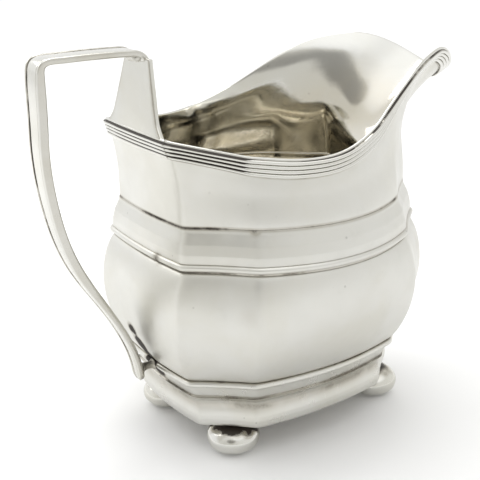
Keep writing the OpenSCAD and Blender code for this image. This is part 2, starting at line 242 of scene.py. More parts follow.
def skin(name, grid, closed_rows, marks):
    """A closed mesh over a grid of rings. Open rows get domed caps of one centre point."""
    rows, cols = grid.shape[:2]
    points = grid.reshape(-1, 3)
    r = np.arange(rows if closed_rows else rows - 1)[:, None]
    c = np.arange(cols)[None, :]
    near, far = r * cols, ((r + 1) % rows) * cols
    quads = np.stack([near + c, near + (c + 1) % cols, far + (c + 1) % cols, far + c], -1).reshape(-1, 4)
    a, b, d, e = (points[quads[:, k]] for k in range(4))
    # The sign of the volume says whether the faces look outwards
    volume = (np.cross(b, d) * a).sum() + (np.cross(d, e) * a).sum()
    faces = quads.tolist()
    marks = {k: np.asarray(v, float).ravel() for k, v in marks.items()}
    if not closed_rows:
        first, last = len(points), len(points) + 1
        points = np.vstack([points, grid[0].mean(0), grid[-1].mean(0)])
        marks = {k: np.append(v, [v[0], v[-1]]) for k, v in marks.items()}
        ring = list(range(cols))
        top = (rows - 1) * cols
        faces += [[first, (k + 1) % cols, k] for k in ring]
        faces += [[last, top + k, top + (k + 1) % cols] for k in ring]
    if volume < 0:
        faces = [f[::-1] for f in faces]
    return make_mesh(name, points, faces, marks)


def finish_piece(obj, nodes, material):
    """Gives a piece its material, hangs it on the root body and hides the CAD nodes it stands for."""
    obj.data.materials.append(material)
    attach(obj, "root")
    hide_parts(*nodes)


# ---- Materials ------------------------------------------------------------


class Tree:
    """Short calls for a node tree."""

    def __init__(self, tree):
        self.tree = tree
        tree.nodes.clear()

    def add(self, kind, inputs=None, **settings):
        """A node with its inputs linked or set, and its settings."""
        node = self.tree.nodes.new(kind)
        for key, value in settings.items():
            setattr(node, key, value)
        for key, value in (inputs or {}).items():
            if isinstance(value, bpy.types.NodeSocket):
                self.tree.links.new(value, node.inputs[key])
            else:
                node.inputs[key].default_value = value
        return node

    def sum_of(self, operation, a, b, clamp=False):
        return self.add("ShaderNodeMath", {0: a, 1: b}, operation=operation, use_clamp=clamp).outputs[0]

    def ramp(self, value, low, high, to_low=0.0, to_high=1.0):
        """A smooth step from to_low at low to to_high at high."""
        return self.add("ShaderNodeMapRange", {
            "Value": value, "From Min": low, "From Max": high, "To Min": to_low, "To Max": to_high},
            interpolation_type="SMOOTHSTEP").outputs[0]

    def blend(self, factor, a, b):
        node = self.add("ShaderNodeMix", data_type="RGBA")
        sockets = {"Factor": factor, "A": a, "B": b}
        for socket in node.inputs:
            if socket.name in sockets and socket.enabled:
                value = sockets[socket.name]
                if isinstance(value, bpy.types.NodeSocket):
                    self.tree.links.new(value, socket)
                else:
                    socket.default_value = (*value, 1) if isinstance(value, tuple) else value
        return next(s for s in node.outputs if s.enabled)

    def noise(self, where, scale, detail=3.0, roughness=0.55, distortion=0.0):
        return self.add("ShaderNodeTexNoise", {
            "Vector": where, "Scale": scale, "Detail": detail, "Roughness": roughness,
            "Distortion": distortion}).outputs["Fac"]

    def attribute(self, name):
        return self.add("ShaderNodeAttribute", attribute_name=name).outputs["Fac"]


# Colours of clean and warm silver, dull patches, tarnish, dirt film and oxide; the film and oxide colours
# also serve as painted shade
CLEAN = (0.672, 0.666, 0.630)
WARM = (0.635, 0.620, 0.555)
GREY = (0.54, 0.535, 0.51)
TARNISH = (0.69, 0.655, 0.57)
FILM_AND_SHADE = (0.36, 0.33, 0.27)
OXIDE_AND_SHADE = (0.030, 0.022, 0.016)
# Noise scales per metre, from broad patches to fine specks
PATCH_SCALE, CLOUD_SCALE, SPECK_SCALE = 42, 130, 1400
PIT_SCALE, PIT_REGION_SCALE = 260, 70
# Polishing lines run round the body; hairline scratches lie across them
LINE_STRETCH, HAIR_STRETCH, HAIR_TURN = (60, 60, 900), (900, 70, 70), (0.3, 0.5, 0.7)
# How much film and pits cover, and what the black of oxide and painted shade does to roughness and metal
FILM_COVER, PIT_COVER = 0.8, 0.35
OXIDE_ROUGH, OXIDE_DULL = 0.35, 0.8
# Relief of lines, hairs, clouds and pits, then the bump's strength and its depth in metres
LINE_RELIEF, HAIR_RELIEF, CLOUD_RELIEF, PIT_RELIEF = 0.10, 0.08, 0.9, 0.5
BUMP_STRENGTH, BUMP_DEPTH = 0.35, 0.00012


def silver(name, rough, scratches, stain, polish=0.22):
    """Old hand-polished silver: soft scratches, pits, warm patches, oxide where the polish doesn't
    reach and painted shade in hollows and under things (mark 'grime'), brown tarnish inside
    (mark 'inside') and a mirror where nothing has rubbed it dull (mark 'bright', smoother by polish)."""
    material = bpy.data.materials.new(name)
    material.use_nodes = True
    t = Tree(material.node_tree)
    where = t.add("ShaderNodeTexCoord").outputs["Object"]
    grime_and_shade, inside, bright = t.attribute("grime_and_shade"), t.attribute("inside"), t.attribute("bright")

    patches = t.noise(where, PATCH_SCALE, 4, 0.6, 0.4)
    clouds = t.noise(where, CLOUD_SCALE, 5, 0.65)
    specks = t.noise(where, SPECK_SCALE, 2, 0.5)
    cells = t.add("ShaderNodeTexVoronoi", {"Vector": where, "Scale": PIT_SCALE, "Randomness": 1.0})
    pit_region = t.ramp(t.noise(where, PIT_REGION_SCALE, 2), 0.56, 0.66)
    pit = t.sum_of("MULTIPLY", t.ramp(cells.outputs["Distance"], 0.055, 0.13, 1, 0), pit_region)

    along = t.add("ShaderNodeMapping", {"Vector": where, "Scale": LINE_STRETCH}).outputs[0]
    across = t.add("ShaderNodeMapping", {
        "Vector": where, "Scale": HAIR_STRETCH, "Rotation": HAIR_TURN}).outputs[0]
    lines = t.noise(along, 1.6, 3, 0.6)
    hairs = t.noise(across, 1.2, 3, 0.6)

    # Grime and painted shade are broken up, black where they are thick and a brown film where they are
    # thin
    broken = t.sum_of("ADD", t.ramp(patches, 0.40, 0.60, 0.25, 1.05),
                      t.ramp(clouds, 0.35, 0.65, -0.05, 0.12))
    broken = t.sum_of("ADD", broken, t.ramp(specks, 0.4, 0.6, -0.05, 0.05))
    oxide = t.ramp(t.sum_of("MULTIPLY", grime_and_shade, broken), 0.34, 0.95)
    film = t.sum_of("MULTIPLY", t.ramp(grime_and_shade, 0.02, 0.6), t.ramp(patches, 0.3, 0.7, 0.5, 1.0))
    brown = t.ramp(t.sum_of("ADD", patches, clouds), 0.6, 1.3, 0.55, 1.1)
    brown = t.sum_of("MULTIPLY", inside, brown, True)

    colour = t.blend(t.ramp(patches, 0.38, 0.68, 0, stain), CLEAN, WARM)
    colour = t.blend(t.ramp(clouds, 0.60, 0.85, 0, 0.35), colour, GREY)
    colour = t.blend(brown, colour, TARNISH)
    colour = t.blend(t.sum_of("MULTIPLY", film, FILM_COVER), colour, FILM_AND_SHADE)
    colour = t.blend(t.sum_of("MULTIPLY", pit, PIT_COVER), colour, OXIDE_AND_SHADE)
    colour = t.blend(oxide, colour, OXIDE_AND_SHADE)

    roughness = t.sum_of("ADD", t.ramp(clouds, 0.3, 0.7, rough - 0.04, rough + 0.07),
                         t.sum_of("MULTIPLY", oxide, OXIDE_ROUGH))
    roughness = t.sum_of("SUBTRACT", roughness, t.sum_of("MULTIPLY", bright, polish))
    metal = t.sum_of("SUBTRACT", 1.0, t.sum_of("MULTIPLY", oxide, OXIDE_DULL))

    height = t.sum_of("ADD", t.sum_of("MULTIPLY", lines, LINE_RELIEF * scratches),
                      t.sum_of("MULTIPLY", hairs, HAIR_RELIEF * scratches))
    height = t.sum_of("ADD", height, t.sum_of("MULTIPLY", clouds, CLOUD_RELIEF))
    height = t.sum_of("SUBTRACT", height, t.sum_of("MULTIPLY", pit, PIT_RELIEF))
    bump = t.add("ShaderNodeBump", {
        "Height": height, "Strength": BUMP_STRENGTH, "Distance": BUMP_DEPTH})
    surface = t.add("ShaderNodeBsdfPrincipled", {
        "Base Color": colour, "Metallic": metal, "Roughness": roughness, "Normal": bump.outputs[0]})
    out = t.add("ShaderNodeOutputMaterial")
    t.tree.links.new(surface.outputs[0], out.inputs[0])
    return material


# Name, roughness, scratches, warm stain and how much smoother it is where it stayed bright
SHEET = silver("silver_sheet", 0.38, 1.0, 0.5, 0.28)
WIRE = silver("silver_wire", 0.16, 0.4, 0.4)
MOULDING = silver("silver_moulding", 0.30, 0.8, 0.6)
HANDLE = silver("silver_handle", 0.18, 0.7, 0.8)
SOLDER = silver("silver_solder", 0.34, 1.2, 1.0)
FOOT = silver("silver_foot", 0.15, 0.8, 0.7)
FLOOR_PLATE = silver("silver_inside", 0.24, 1.0, 1.0)

# ---- Lower body -----------------------------------------------------------

# Flange under the skirt: its height, and how far it reaches in
FLANGE_HIGH, FLANGE_INSET = 1.2, 7.2
# The foot band's face steps in just above its edge: up, in
BAND_STEP, BAND_RECESS = 0.3, 0.5
# Thickness of the band's wall under its bead, and of its top, which carries the floor plate
BAND_WALL, BAND_SEAT = 1.6, 2.4
# The girdle groove's plain strip, and the foot of the shoulder's bead above the groove
GROOVE_STRIP, BEAD_FOOT = 0.6, 0.7
# The shoulder's bead stands out by this much at its foot and above it
BEAD_STAND, BEAD_SPREAD = 0.1, 0.25
# The ledge rolls in to the neck, outside and inside: up, out
LEDGE_ROLL, LEDGE_LINING = (0.45, -0.12), (-0.4, -0.2)
# Power of the belly's arc; a smaller one makes it squarer
BELLY_ARC = 0.8
# Outsides and insides: share of the way up from one level to the next, distance out
SKIRT_PROFILE = [
    (0, 0), (0.1, 0.25), (0.24, 0.3), (0.38, 0.1), (0.5, -0.25), (0.62, -0.65),
    (0.74, -0.95), (0.85, -0.95), (0.94, -0.6), (1, 0)]
SKIRT_LINING = [(1, 0), (0.83, -0.9), (0.68, -0.85), (0.5, -0.2)]
SHOULDER_PROFILE = [(0.3, 0.45), (0.65, 0.5)]
SHOULDER_LINING = [(0.5, 0.4)]

# Dark bands by height, oxide where the polish never reaches and one of painted shade: height, width of
# the dark line, strength
SEAMS_AND_COVE_SHADE = [
    # A broad band of painted shade in the deepest part of the skirt's cove
    (EDGE_Z - 2.4, 2.2, 0.5),
    (EDGE_Z + 0.2, 0.32, 0.68),
    (BELLY_Z - BEAD_HIGH, 0.34, 0.5),
    (BELLY_Z, 0.34, 0.58),
    (GROOVE_Z + 0.35, 0.46, 0.68),
    (GROOVE_Z + BEAD_FOOT + BEAD_HIGH, 0.3, 0.25),
    (NECK_Z - 0.1, 0.50, 0.72),
]


def seam_oxide_and_cove_shade(z):
    marks = [power * np.exp(-((z - place) / width) ** 2) for place, width, power in SEAMS_AND_COVE_SHADE]
    return np.max(marks, axis=0)


# Dark places: the first four are painted shade on the end behind the handle's foot, the rest dark spots:
# centre, radius, strength
DARK_SPOTS_AND_SHADE = [
    ((-42.6, 4.2, 35), 2.0, 4), ((-41.5, 2.6, 30.5), 2.6, 6), ((-40.3, 1.0, 26), 2.8, 6),
    ((-39.3, 0.2, 22), 3.0, 6), ((-24.3, -30.6, 70.6), 1.6, 1.8), ((-41, -9, 60), 2.2, 0.8),
    ((-29, -34, 49), 4.5, 0.28),
]
# How steeply the black falls away from its centre
DARK_SPOT_EDGE = 1.5


def dark_spots_and_shade(points):
    marks = []
    for place, radius, power in DARK_SPOTS_AND_SHADE:
        far = np.linalg.norm(points - np.array(place), axis=-1) / radius
        marks.append(power * np.exp(-far ** 2 * DARK_SPOT_EDGE))
    return np.max(marks, axis=0)


def body_shell(name, outside, inside, nodes, material, radius=0.25, step=0.9):
    """A shell of the lower body from its outside levels, bottom first, and its inside ones,
    top first."""
    section = filled_in(filleted(list(outside) + list(inside), radius), step)
    grid = uneven(softened(np.array([outline(level) for level in section]), CREASE_PASSES))
    # A level is inside when it lies further in than just past the wall's middle
    heights, outs = [[level[k] for level in section] for k in (0, 2)]
    reach = np.interp(heights, [level[0] for level in outside], [level[2] for level in outside])
    within = (np.array(outs) < reach - WALL * 0.6).astype(float)[:, None]
    grime_and_shade = np.maximum(np.clip(seam_oxide_and_cove_shade(grid[..., 2]), 0, 1), dark_spots_and_shade(grid)) * (1 - within)
    deep = np.ones(grid.shape[:2]) * within
    marks = {"grime_and_shade": grime_and_shade, "inside": deep, "bright": deep}
    finish_piece(skin(name, grid, True, marks), nodes, material)


def inset(level, d):
    return shifted(level, 0, -d)


def belly_at(t):
    """The belly's outside, a share of the way up from its foot to the groove."""
    return shifted(between(BELLY, GROOVE, t), 0, SWELL * (1 - (2 * t - 1) ** 2) ** BELLY_ARC)


def along_profile(a, b, profile):
    """Levels between two others, each moved out by its own distance."""
    return [shifted(between(a, b, share), 0, out) for share, out in profile]


def build_lower_body():
    """The skirt, the foot band, the belly and the shoulder, from the bottom up."""
    flange = shifted(SKIRT, FLANGE_HIGH, 0)
    skirt_out = along_profile(SKIRT, EDGE, SKIRT_PROFILE)
    skirt_in = [inset(level, WALL) for level in along_profile(SKIRT, EDGE, SKIRT_LINING)]
    skirt_in += [inset(flange, WALL), inset(flange, FLANGE_INSET), inset(SKIRT, FLANGE_INSET)]
    body_shell("skirt_cove", skirt_out, skirt_in, ["base_skirt"], MOULDING)

    under_bead = shifted(BELLY, -BEAD_HIGH - BAND_STEP, -BAND_RECESS)
    band_out = [EDGE, shifted(EDGE, BAND_STEP, -BAND_RECESS), under_bead]
    band_out += bead(shifted(BELLY, -BEAD_HIGH, 0))
    band_in = [inset(BELLY, BAND_SEAT), inset(under_bead, BAND_WALL), inset(EDGE, WALL)]
    body_shell("foot_band_moulding", band_out, band_in, ["foot_band"], MOULDING, 0.12)

    rise = 0.5 - 0.5 * np.cos(np.linspace(0, np.pi, 49))
    belly_out = [belly_at(t) for t in rise]
    belly_in = [inset(level, WALL) for level in belly_out[::-2]]
    body_shell("belly_body", belly_out, belly_in, ["belly_shell"], SHEET, 0.12, 1.2)

    above = shifted(GROOVE, BEAD_HIGH + BEAD_FOOT, BEAD_SPREAD)
    belt_out = [GROOVE, shifted(GROOVE, GROOVE_STRIP, 0)]
    belt_out += bead(shifted(GROOVE, BEAD_FOOT, BEAD_STAND)) + [above]
    belt_out += along_profile(above, LEDGE, SHOULDER_PROFILE) + [LEDGE, shifted(LEDGE, *LEDGE_ROLL), NECK]
    lining = [NECK, shifted(LEDGE, *LEDGE_LINING)] + along_profile(above, LEDGE, SHOULDER_LINING)
    lining += [shifted(GROOVE, BEAD_HIGH, BEAD_STAND), GROOVE]
    belt_in = [inset(level, WALL) for level in lining]
    body_shell("shoulder_belt", belt_out, belt_in, ["shoulder_band"], SHEET, 0.18)


# The floor plate: its gap to the belly's inside, its thickness and how far it is domed
FLOOR_GAP, FLOOR_THICK, FLOOR_DOME = 0.1, 0.8, 0.5


def build_floor_plate():
    """The floor inside, a little domed, resting on the foot band inside the belly."""
    upper_n, under_n = 40, 12
    smallest = 0.02
    seat = softened(outline(inset(BELLY, WALL + FLOOR_GAP)), CREASE_PASSES)
    rings = []
    for share in np.linspace(1, smallest, upper_n):
        ring = seat * [share, share, 1]
        ring[:, 2] += FLOOR_THICK + FLOOR_DOME * (1 - share ** 2)
        rings.append(ring)
    rings += [seat * [share, share, 1] for share in np.linspace(smallest, 1, under_n)]
    grid = np.array(rings)
    # Dirt gathers along the plate's edge
    edge = 0.5 * np.linspace(1, 0, upper_n) ** 3
    grime_and_shade = np.repeat(np.concatenate([edge, np.zeros(under_n)])[:, None], grid.shape[1], 1)
    plate = skin("floor_inside", grid, True, {"grime_and_shade": grime_and_shade, "inside": np.ones(grid.shape[:2])})
    finish_piece(plate, ["base_plate"], FLOOR_PLATE)


# ---- Neck, lip and reeded wire ---------------------------------------------

# Rim of one side from the side corner at the handle to the tip of the lip
RIM_SIDE = [
    (-24.5, 28.2, 88.8), (-12, 33.8, 87.4), (0, 36.6, 88.3), (12, 34.8, 92.6),
    (22, 31.3, 98.6), (31, 28.4, 104), (39, 25.4, 107.7), (46, 21.8, 109.2),
    (53.4, 17.4, 107.6), (59, 13.8, 104.8), (62.6, 10.8, 102.4), (65, 7.4, 100.2),
    (66.4, 3.8, 98.4), (66.8, 0, 97.8),
]
RIM_CORNER = (-41.6, 16.9, 93.2)
# How far the rim bows out at the middle of the handle's end
RIM_BOW = 0.4
# Knots at which the side's rim turns into the front cant, and that into the lip
SIDE_KNOTS = 4
FRONT_KNOTS = 6
LAST_KNOT = len(RIM_SIDE) - 1
RIM_CROWDING = 0.2
MIRROR = np.array([1, -1, 1])


def rim_curve(s):
    return spline(RIM_SIDE + [tuple(np.array(RIM_SIDE[-2]) * MIRROR)], s)


def line3(a, b, n):
    t = spread(n)[:, None]
    return np.array(a, float) + (np.array(b, float) - np.array(a, float)) * t


def neck_halves():
    """Half of the rim and half of the neck's foot, matched point by point."""
    half_end = END_N // 2
    first = np.linspace(0, 1, half_end, endpoint=False)
    rim = np.concatenate([
        np.column_stack([RIM_CORNER[0] - RIM_BOW * (1 - first ** 2), RIM_CORNER[1] * first,
                         np.full(half_end, RIM_CORNER[2])]),
        line3(RIM_CORNER, RIM_SIDE[0], CANT_N),
        rim_curve(SIDE_KNOTS * spread(SIDE_N, RIM_CROWDING)),
        rim_curve(SIDE_KNOTS + (FRONT_KNOTS - SIDE_KNOTS) * spread(CANT_N, RIM_CROWDING)),
        rim_curve(np.linspace(FRONT_KNOTS, LAST_KNOT, LIP_N + 1))])
    (ex, ey), (sx, sy), bow = end_corner(NECK), side_corner(NECK), NECK[3]
    lip = 1 - np.linspace(0, 1, LIP_N + 1)
    foot = np.concatenate([
        np.column_stack([-ex - END_BOW * (1 - first ** 2), ey * first]),
        bowed((-ex, ey), (-sx, sy), CANT_N, -HOLLOW, (-SLANT, SLANT)),
        bowed((-sx, sy), (sx, sy), SIDE_N, bow, (0, 1)),
        bowed((sx, sy), (ex, ey), CANT_N, -HOLLOW, (SLANT, SLANT)),
        np.column_stack([ex + END_BOW * (1 - lip ** 2), ey * lip])])
    return rim, np.column_stack([foot, np.full(len(foot), NECK_Z)])


# The front creases fade over this many columns beside the cant, and up the neck from one
# share of its height over another
FADE_COLUMNS = 26
FADE_FROM, FADE_OVER = 0.12, 0.45
FADE_PASSES = 260


def fading(grid):
    """The front creases fade out as the neck flares into the lip."""
    start = END_N // 2 + CANT_N + SIDE_N
    column = np.arange(grid.shape[1] // 2 + 1)
    off = np.maximum(start - column, column - start - CANT_N)
    side = np.clip(1 - np.maximum(off, 0) / FADE_COLUMNS, 0, 1)
    side = smooth(np.concatenate([side, side[-2:0:-1]]))
    high = smooth((np.linspace(0, 1, len(grid)) - FADE_FROM) / FADE_OVER)
    weight = side[None, :, None] * high[:, None, None]
    return grid + (softened(grid, FADE_PASSES) - grid) * weight


def whole(half):
    """A whole ring from one half, the other side mirrored."""
    return np.concatenate([half, half[-2:0:-1] * MIRROR])


NECK_ROWS = 64
# Below its edge the neck stands in by this much, less at the handle's end, over this distance
EDGE_FLARE = 1.3
END_FLARE = 0.3
EDGE_REACH = 6.0
# Power of the neck's flare, and how much less it is at the tip of the lip
FLARE_POWER = 2.2
LIP_EASE = 0.5


def eased(t):
    """From 0 to 1, starting at once and ending gently."""
    t = np.clip(t, 0, 1)
    return t * (2 - t)


def smooth(t):
    """From 0 to 1, starting and ending gently."""
    t = np.clip(t, 0, 1)
    return t * t * (3 - 2 * t)


def neck_surface():
    """Outside of the neck as a grid, foot first, and its unit normals."""
    rim, foot = neck_halves()
    flare = np.full(len(rim), FLARE_POWER)
    flare[-LIP_N - 1:] -= LIP_EASE * np.linspace(0, 1, LIP_N + 1)
    stand_in = between(END_FLARE, EDGE_FLARE, smooth((np.arange(len(rim)) - END_N // 2) / CANT_N))
    high = rim[:, 2] - foot[:, 2]
    rows = []
    for v in np.linspace(0, 1, NECK_ROWS + 1):
        flat = foot[:, :2] + (rim[:, :2] - foot[:, :2]) * (v ** flare)[:, None]
        way = unit(flat / [HALF_LENGTH ** 2, HALF_WIDTH ** 2])
        flat = flat - way * (stand_in * eased((1 - v) * high / EDGE_REACH) * smooth(2 * v))[:, None]
        rows.append(whole(np.column_stack([flat, foot[:, 2] + high * v])))
    grid = uneven(fading(softened(np.array(rows), CREASE_PASSES)))
    along = np.roll(grid, -1, 1) - np.roll(grid, 1, 1)
    up = np.gradient(grid, axis=0)
    return grid, unit(np.cross(up, along))


def below_rim(grid, distance):
    """Points a distance down the neck from its rim, one per column."""
    down = grid[::-1]
    steps = np.linalg.norm(np.diff(down, axis=0), axis=2)
    length = np.vstack([np.zeros(grid.shape[1]), np.cumsum(steps, axis=0)])
    out = np.empty((grid.shape[1], 3))
    for i in range(grid.shape[1]):
        for k in range(3):
            out[i, k] = np.interp(distance, length[:, i], down[:, i, k])
    return out


REED_PITCH = 1.12
REEDS = 4
REED_HEIGHT = 0.95
# The wire starts this far below the neck's edge
WIRE_DROP = 0.1
# Where the cant behind starts and ends and the lip starts along the body, and how softly the
# black in the grooves ends
CANT_STARTS, CANT_ENDS, LIP_STARTS = -41.5, -26.5, 30
GROOVE_EDGE = 0.14
# Dirt where the neck stands on the shoulder, and under the wire: strength, width
NECK_DIRT, WIRE_DIRT = (0.9, 0.55), (0.75, 0.4)
# Inside, tarnish starts this far down from the rim and is full this much further
TARNISH_FROM, TARNISH_OVER = 5, 16


def build_neck():
    """The neck and lip: its outside, a round brim and its inside, as one closed skin."""
    grid, normal = neck_surface()
    flat_foot = unit(normal[0] * [1, 1, 0])
    inner = grid - WALL * normal
    inner[0] = grid[0] - WALL * flat_foot
    up = unit(grid[-1] - grid[-2])
    middle = (grid[-1] + inner[-1]) / 2
    out = unit(grid[-1] - inner[-1])
    turns = np.linspace(0, np.pi, 8)[1:-1]
    brim = np.array([middle + WALL / 2 * (out * math.cos(a) + up * math.sin(a)) for a in turns])
    rows = np.concatenate([grid, brim, inner[::-1]])
    cols = grid.shape[1]
    outside_n, brim_n = len(grid), len(brim)
    from_rim = np.linalg.norm(grid - grid[-1], axis=2)
    wire_foot = WIRE_DROP + REEDS * REED_PITCH
    grime_out = np.maximum(
        NECK_DIRT[0] * np.exp(-((grid[..., 2] - NECK_Z) / NECK_DIRT[1]) ** 2),
        WIRE_DIRT[0] * np.exp(-((from_rim - wire_foot) / WIRE_DIRT[1]) ** 2))
    depth = np.linalg.norm(inner - inner[-1], axis=2)
    deep = smooth((depth - TARNISH_FROM) / TARNISH_OVER)
    grime_and_shade = np.concatenate([grime_out, np.zeros((brim_n + outside_n, cols))])
    inside = np.concatenate([np.zeros((outside_n + brim_n, cols)), deep[::-1]])
    bright = np.concatenate([np.zeros((outside_n, cols)), np.ones((brim_n + outside_n, cols))])
    neck = skin("neck_and_lip", rows, True, {"grime_and_shade": grime_and_shade, "inside": inside, "bright": bright})
    finish_piece(neck, ["neck_shell"], SHEET)
    build_wire(grid, normal)


def build_wire(grid, normal):
    """Four round reeds in one strip, following the neck below its edge."""
    turn_n = 12
    # The strip's back is sunk into the neck; the grooves stand off it
    back = -0.15
    low = REED_HEIGHT * 0.35
    section = [(WIRE_DROP, back)]
    for reed in range(REEDS):
        for a in np.linspace(0, np.pi, turn_n + 1)[(0 if reed == 0 else 1):]:
            section.append((WIRE_DROP + REED_PITCH * (reed + (1 - math.cos(a)) / 2),
                            low + (REED_HEIGHT - low) * math.sin(a)))
    section.append((WIRE_DROP + REEDS * REED_PITCH, back))
    rows, hollow = [], []
    for distance, out in section:
        rows.append(below_rim(grid, distance) + normal[-3] * out)
        hollow.append(1 - max(out, 0) / REED_HEIGHT)
    wire = np.array(rows)
    # The black between the reeds is broadest on the cants behind and thin along the sides and
    # lip: how deep in a groove it starts, and how strong it is
    x = wire[..., 0]
    ahead = smooth((x - CANT_ENDS) / 3)
    cant = smooth((x - CANT_STARTS) / 2) * (1 - ahead)
    kept = 0.25 + 0.17 * ahead - 0.09 * cant
    strength = 4.5 - 3.3 * ahead + 1.5 * cant - 0.5 * smooth((x - LIP_STARTS) / 20)
    grime_and_shade = np.clip((np.array(hollow)[:, None] - kept) / GROOVE_EDGE + 0.5, 0, 1) * strength
    reeded = skin("reeded_wire", wire, True, {"grime_and_shade": grime_and_shade, "inside": np.zeros(wire.shape[:2])})
    finish_piece(reeded, ["rim_wire"], WIRE)


# ---- Handle ----------------------------------------------------------------

# Middle line of the strap: along, up
STRAP_LINE = [
    (-38.3, 108.6), (-38.9, 111.6), (-41.0, 113.4), (-45, 113.8), (-53, 114), (-61, 114),
    (-65.2, 113.9), (-67, 112.6), (-67.4, 109.5), (-67.5, 104.5), (-67.6, 99), (-67.8, 91.5),
    (-67.4, 84), (-66.3, 76), (-64.5, 68), (-61.8, 60.5), (-58.2, 53.5), (-54, 46.5),
    (-50.2, 39.8), (-47.2, 33.5), (-45.2, 27.5), (-44, 21),
]
# Its width at the top and at the tip, and its thickness
STRAP_TOP = 8.8
STRAP_TIP = 4.8
STRAP_THICK = 1.7
# The upright part of the strap is thicker, between these knots, coming and going over some
STRAP_SWELL = 0.8
SWELL_FROM, SWELL_TO, SWELL_FADE = 6, 18, 3
# The strap narrows slowly at first, then faster
STRAP_TAPER = 1.6
EDGE_REED = 1.1
# Half outline of the riser plate: half width, height
RISER_HALF = [(14.8, 1.4), (11.8, 5), (10.2, 9), (8.4, 14.5), (6.5, 20.6)]
# It ends inside the strap's arm, and its outer face is crowned by this much
RISER_TOP, RISER_CROWN = 20.8, 0.25
RISER_THICK = 1.3
RISER_LEAN = math.radians(6.3)
RISER_OUTER = RIM_CORNER[0] - 0.3
RISER_Z = 91.5
ARM_Z = 113.8


def strap_section(w, thick):
    """Across and outwards: a low crown between two thin round reeds, with rounded back edges."""
    h = thick / 2
    r = EDGE_REED / 2 * min(1, w / 2)
    # The crown, falling away towards the groove
    half = []
    for a in np.linspace(0, 1, 7):
        x = (w - 2 * r - 0.25) * a
        half.append((x, h - 0.12 - 0.10 * a * a))
    half.append((w - 2 * r - 0.08, h - 0.42))
    # The reed, a little flattened
    high = r * 0.85
    for a in np.linspace(np.pi * 0.95, 0, 9):
        half.append((w - r + r * math.cos(a), h - high + high * math.sin(a)))
    # The rounded edge and the back
    half += [(w, -h + 0.45), (w - 0.08, -h + 0.22), (w - 0.25, -h + 0.06), (w - 0.5, -h)]
    half += [(w * 0.5, -h - 0.05), (0, -h - 0.08)]
    left = [(-x, z) for x, z in half[-2:0:-1]]
    return np.array(half + left)


def build_strap():
    """The strap, thicker in its upright part, ending in a rounded tongue."""
    count = 320
    last = len(STRAP_LINE) - 1
    s = np.linspace(0, last, count + 1)
    centre = spline(STRAP_LINE, s)
    along = unit(np.gradient(centre, axis=0))
    out = np.column_stack([along[:, 1], -along[:, 0]])
    from_tip = np.linalg.norm(np.diff(centre, axis=0), axis=1)[::-1].cumsum()[::-1]
    from_tip = np.append(from_tip, 0)
    swell = STRAP_SWELL * smooth((s - SWELL_FROM) / SWELL_FADE)
    thick = STRAP_THICK + swell * smooth((SWELL_TO - s) / SWELL_FADE)
    rows, grime_and_shade = [], []
    for k in range(count + 1):
        w = between(STRAP_TOP, STRAP_TIP, (s[k] / last) ** STRAP_TAPER) / 2
        nose = math.sqrt(max(1 - max(0, 1 - from_tip[k] / w) ** 2, 0.004))
        flat = strap_section(w, thick[k])
        section = flat * [nose, 0.25 + 0.75 * nose]
        rows.append([(centre[k][0] + out[k][0] * c[1], c[0], centre[k][1] + out[k][1] * c[1])
                     for c in section])
        # Dirt in the grooves beside the reeds, and a thin film on the strap's sides
        across = np.abs(flat[:, 0])
        groove = np.exp(-((across - (w - EDGE_REED)) / 0.22) ** 2) * (flat[:, 1] > 0)
        side = 0.33 * (across > w - 0.1)
        grime_and_shade.append(np.maximum(groove * 1.2, side))
    grid = np.array(rows)
    marks = {"grime_and_shade": np.array(grime_and_shade), "inside": np.zeros(grid.shape[:2])}
    finish_piece(skin("handle_strap_reeded", grid, False, marks), ["handle_strap"], HANDLE)


def plate_section(w, thick):
    """Rounded rectangle, from the outer face at x = 0 to the inner face at x = thick, with
    points added along its long sides."""
    r = 0.42
    corners = [(r, w - r), (thick - r, w - r), (thick - r, -w + r), (r, -w + r)]
    ring = []
    for index, (x, y) in enumerate(corners):
        for a in np.linspace(0, 0.5, 6):
            angle = math.pi * (1 - index * 0.5 - a)
            ring.append(np.array((x + r * math.cos(angle), y + r * math.sin(angle))))
    dense = []
    for i, p in enumerate(ring):
        q = ring[(i + 1) % len(ring)]
        parts = 14 if np.linalg.norm(q - p) > 2 else 1
        dense += [p + (q - p) * k / parts for k in range(parts)]
    return np.array(dense)


def build_riser():
    """The riser plate, its outer face crowned, dirt along its edges and its foot."""
    known = np.array(RISER_HALF)
    heights = np.linspace(known[0, 1], RISER_TOP, 60)
    s = np.interp(heights, known[:, 1], np.arange(len(known)))
    widths = spline(RISER_HALF, s)[:, 0]
    rows, grime_and_shade = [], []
    for h, w in zip(heights, widths):
        ring = plate_section(w, RISER_THICK)
        crown = RISER_CROWN * (1 - (ring[:, 1] / w) ** 2)
        x = ring[:, 0] - np.where(ring[:, 0] < RISER_THICK / 2, crown, -crown * 0.3)
        y, z = ring[:, 1], np.full(len(ring), h)
        rows.append(np.column_stack([
            RISER_OUTER + x * math.cos(RISER_LEAN) + z * math.sin(RISER_LEAN), y,
            RISER_Z - x * math.sin(RISER_LEAN) + z * math.cos(RISER_LEAN)]))
        edge = np.exp(-((np.abs(y) - (w - 0.3)) / 0.25) ** 2) * (x < RISER_THICK * 0.4)
        foot = np.exp(-((h - heights[0]) / 0.6) ** 2) * (x < RISER_THICK * 0.5)
        grime_and_shade.append(np.maximum(edge * 0.5, foot * 0.7))
    grid = uneven(np.array(rows), 0.06, 3.0)
    marks = {"grime_and_shade": np.array(grime_and_shade), "inside": np.zeros(grid.shape[:2])}
    finish_piece(skin("handle_riser_plate", grid, False, marks), ["handle_riser"], HANDLE)


# Half sizes of the gusset's lump: back, up, across
GUSSET_HALF = (1.5, 1.1, 3.6)
# Its middle lies this far behind the riser's face and below the arm
GUSSET_BACK, GUSSET_DROP = 0.9, 0.7


